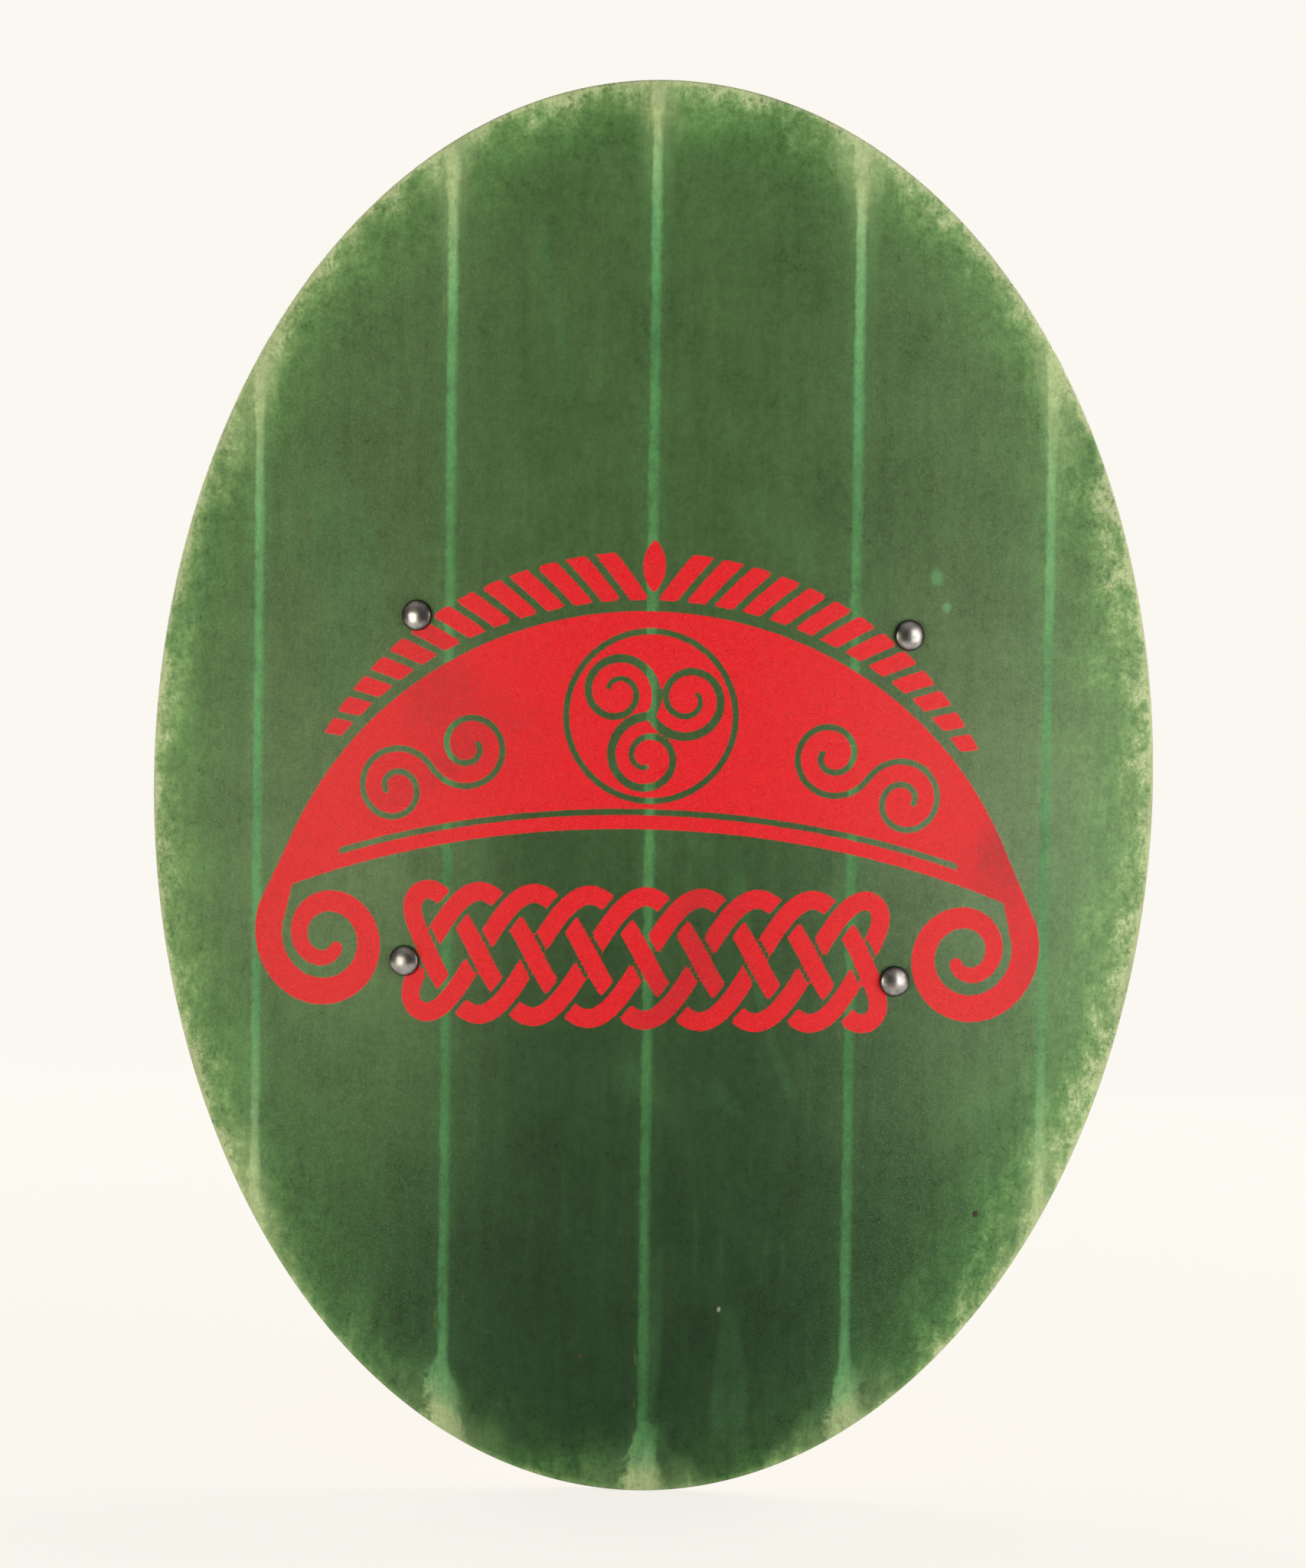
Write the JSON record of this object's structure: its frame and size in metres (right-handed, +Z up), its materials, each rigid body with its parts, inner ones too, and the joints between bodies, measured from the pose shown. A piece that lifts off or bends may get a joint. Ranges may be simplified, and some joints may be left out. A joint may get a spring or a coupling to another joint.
{
  "type": "wooden shield",
  "caption": "Upright oval shield of bent plywood with a stained and printed front, carried on the left arm by a leather hand grip and an arm loop riveted through the board.",
  "frame": {"origin": "middle of the hand grip's hollow, half way between the board's back and the strap, where the fist closes", "axes": "+X across the board to the right of someone who faces its printed front, +Y from that front to the back with the straps, +Z up along the long axis of the oval"},
  "size_m": [0.3631, 0.0723, 0.5],
  "materials": {
    "stained_face": "satin green stain, sanded through at the rim",
    "birch_core": "bare ply edge",
    "plain_back": "plain sanded birch",
    "leather": "semi-matt brown",
    "nickel": "polished nickel plate",
    "steel": "plain"
  },
  "bodies": {
    "root": {"face_ply": "stained_face", "front_crossband": "birch_core", "core_ply": "birch_core", "rear_crossband": "birch_core", "back_ply": "plain_back", "hand_grip": "leather", "arm_loop": "leather", "grip_lower_front_cap": "nickel", "grip_lower_post": "steel", "grip_lower_socket": "steel", "grip_lower_rear_cap": "nickel", "grip_upper_front_cap": "nickel", "grip_upper_post": "steel", "grip_upper_socket": "steel", "grip_upper_rear_cap": "nickel", "loop_lower_front_cap": "nickel", "loop_lower_post": "steel", "loop_lower_socket": "steel", "loop_lower_rear_cap": "nickel", "loop_upper_front_cap": "nickel", "loop_upper_post": "steel", "loop_upper_socket": "steel", "loop_upper_rear_cap": "nickel"}
  },
  "joints": []
}
